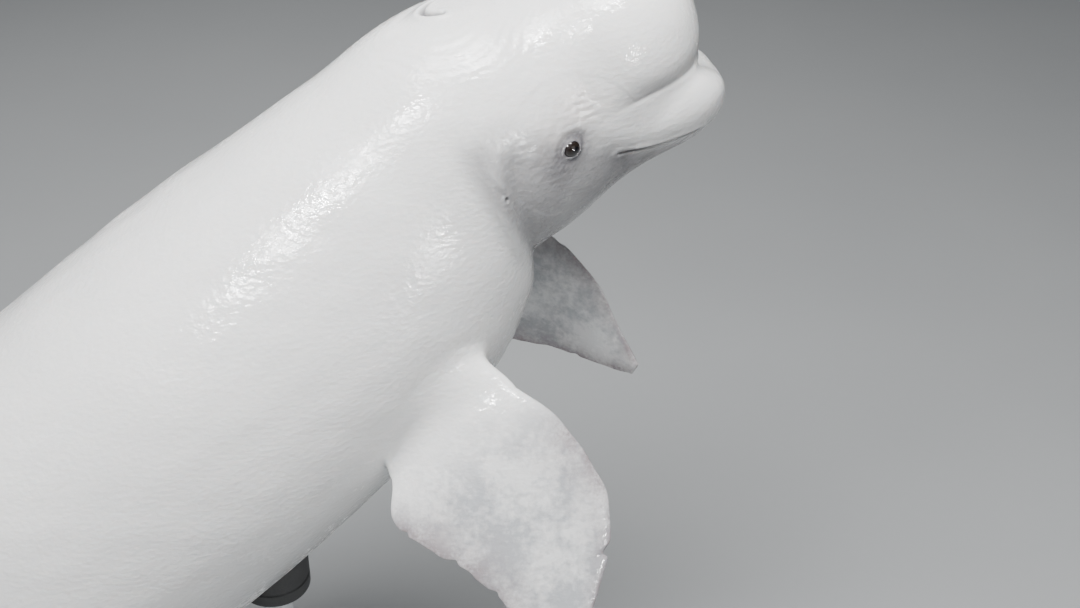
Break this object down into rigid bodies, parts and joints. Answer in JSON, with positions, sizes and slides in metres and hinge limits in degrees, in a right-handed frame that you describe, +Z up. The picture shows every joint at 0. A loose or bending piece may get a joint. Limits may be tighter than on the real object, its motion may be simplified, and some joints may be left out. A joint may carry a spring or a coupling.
{
  "type": "beluga whale model",
  "caption": "Life-size still model of an adult beluga whale rising with its head level, one flipper spread and one reaching forward, on a flat base with two rods.",
  "frame": {"origin": "centre of the bounding box in plan, at the underside of the stand's base", "axes": "+X towards the whale's beak, +Y to its left, +Z up"},
  "size_m": [3.5994, 1.08, 2.2644],
  "materials": {
    "skin": "wet-looking white skin",
    "eye": "polished dark",
    "stand_paint": "satin dark grey",
    "stand_steel": "brushed",
    "stand_pad": "matt"
  },
  "bodies": {
    "root": {"head": "skin", "melon": "skin", "lower_jaw": "skin", "eye_left": "eye", "eye_right": "eye", "neck": "skin", "torso": "skin", "abdomen": "skin", "dorsal_ridge": "skin", "tail_stock": "skin", "flipper_left": "skin", "flipper_right": "skin", "fluke_left": "skin", "fluke_right": "skin", "stand_base": "stand_paint", "stand_collar_front": "stand_steel", "stand_collar_rear": "stand_steel", "stand_rod_front": "stand_steel", "stand_rod_rear": "stand_steel", "stand_cradle_front": "stand_pad", "stand_cradle_rear": "stand_pad"}
  },
  "joints": []
}
